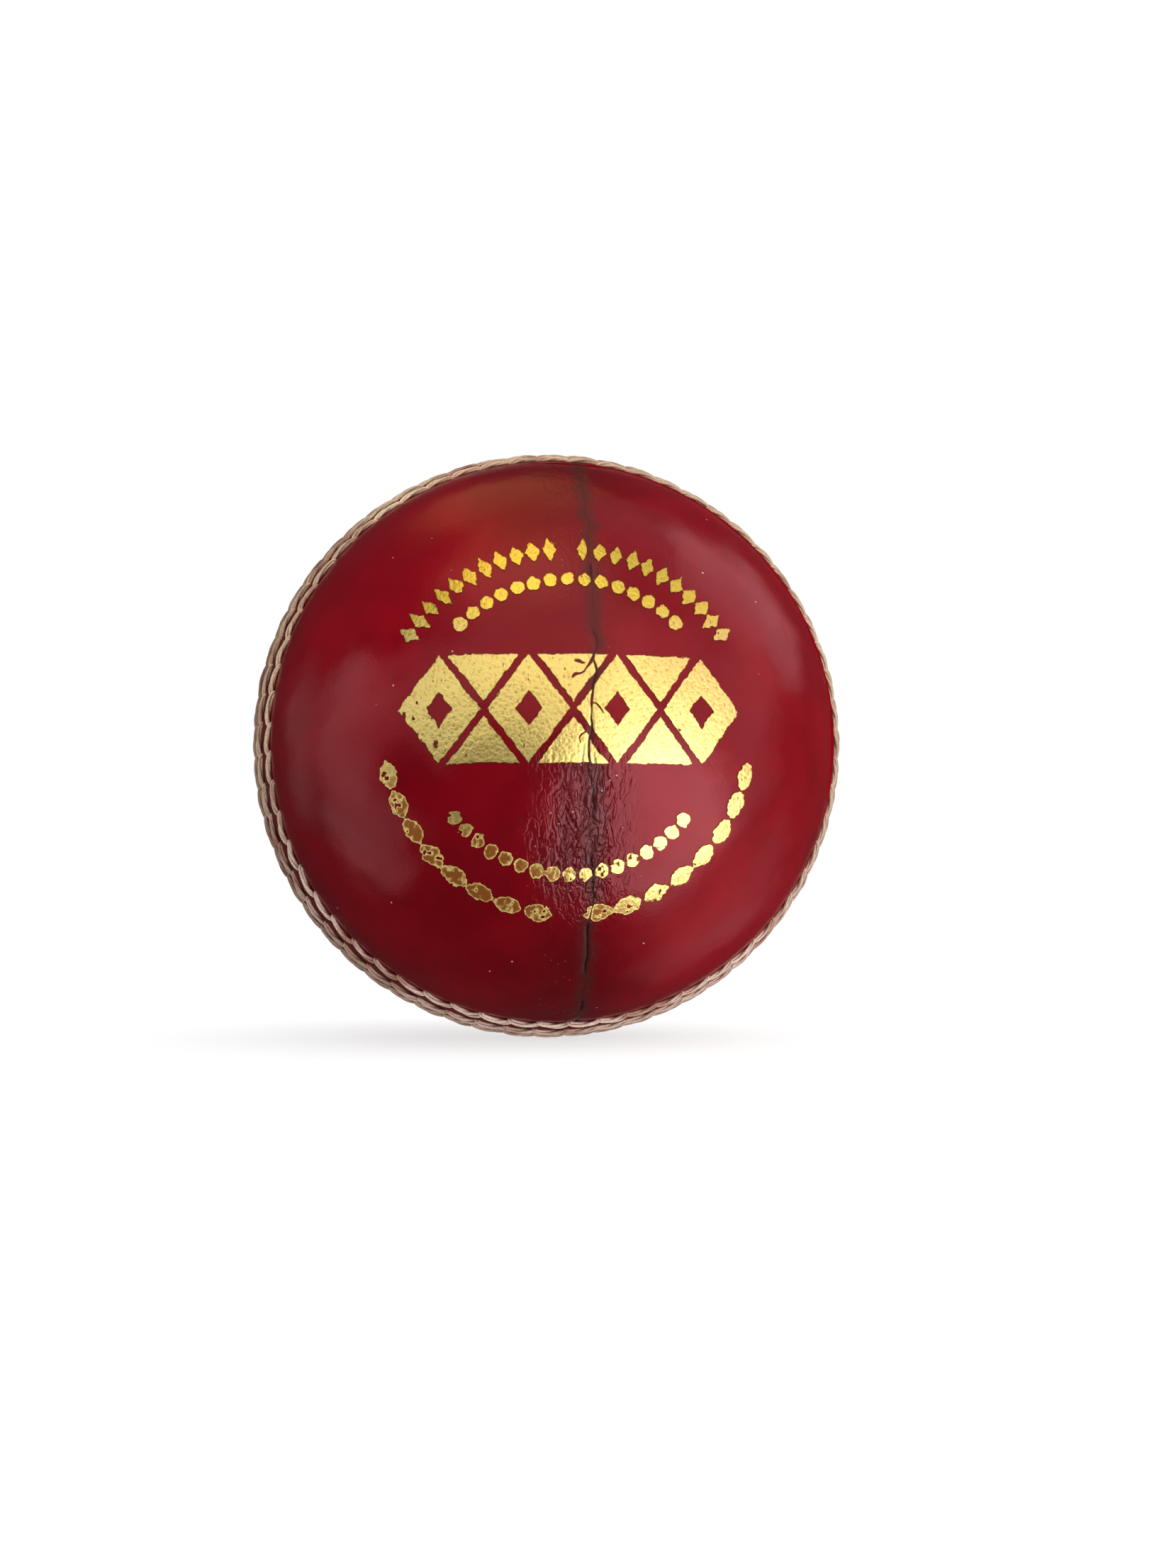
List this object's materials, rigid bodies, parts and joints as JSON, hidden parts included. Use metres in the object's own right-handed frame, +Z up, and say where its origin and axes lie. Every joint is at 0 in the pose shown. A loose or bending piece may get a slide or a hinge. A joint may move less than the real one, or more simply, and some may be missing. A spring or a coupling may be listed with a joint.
{
  "type": "cricket ball",
  "caption": "Hand-stitched red leather cricket ball with a raised seam, gold foil stamp and a core of cork and wound yarn.",
  "frame": {"origin": "centre of the ball", "axes": "-Y along the pole axis through the foil stamp, +Z up the stamp, +X to the right of the stamp; the main seam lies in the XZ plane"},
  "size_m": [0.0728, 0.0713, 0.0728],
  "materials": {
    "cover_leather": "satin, polished",
    "lining_leather": "matt, undyed",
    "seam_thread": "waxed linen, cream",
    "hidden_thread": "waxed linen, cream",
    "wool_yarn": "wound yarn, matt",
    "cork": "cork, matt",
    "gold_foil": "hot-stamped foil, rubbed"
  },
  "bodies": {
    "root": {"front_left_quarter": "cover_leather", "front_right_quarter": "cover_leather", "back_upper_quarter": "cover_leather", "back_lower_quarter": "cover_leather", "front_seam_lining": "lining_leather", "back_seam_lining": "lining_leather", "front_outer_stitches": "seam_thread", "front_middle_stitches": "seam_thread", "front_closing_stitches": "seam_thread", "back_outer_stitches": "seam_thread", "back_middle_stitches": "seam_thread", "back_closing_stitches": "seam_thread", "front_quarter_stitches": "hidden_thread", "back_quarter_stitches": "hidden_thread", "cork_nucleus": "cork", "inner_wool_winding": "wool_yarn", "inner_cork_strips": "cork", "middle_wool_winding": "wool_yarn", "outer_cork_strips": "cork", "outer_wool_winding": "wool_yarn", "foil_stamp": "gold_foil"}
  },
  "joints": []
}
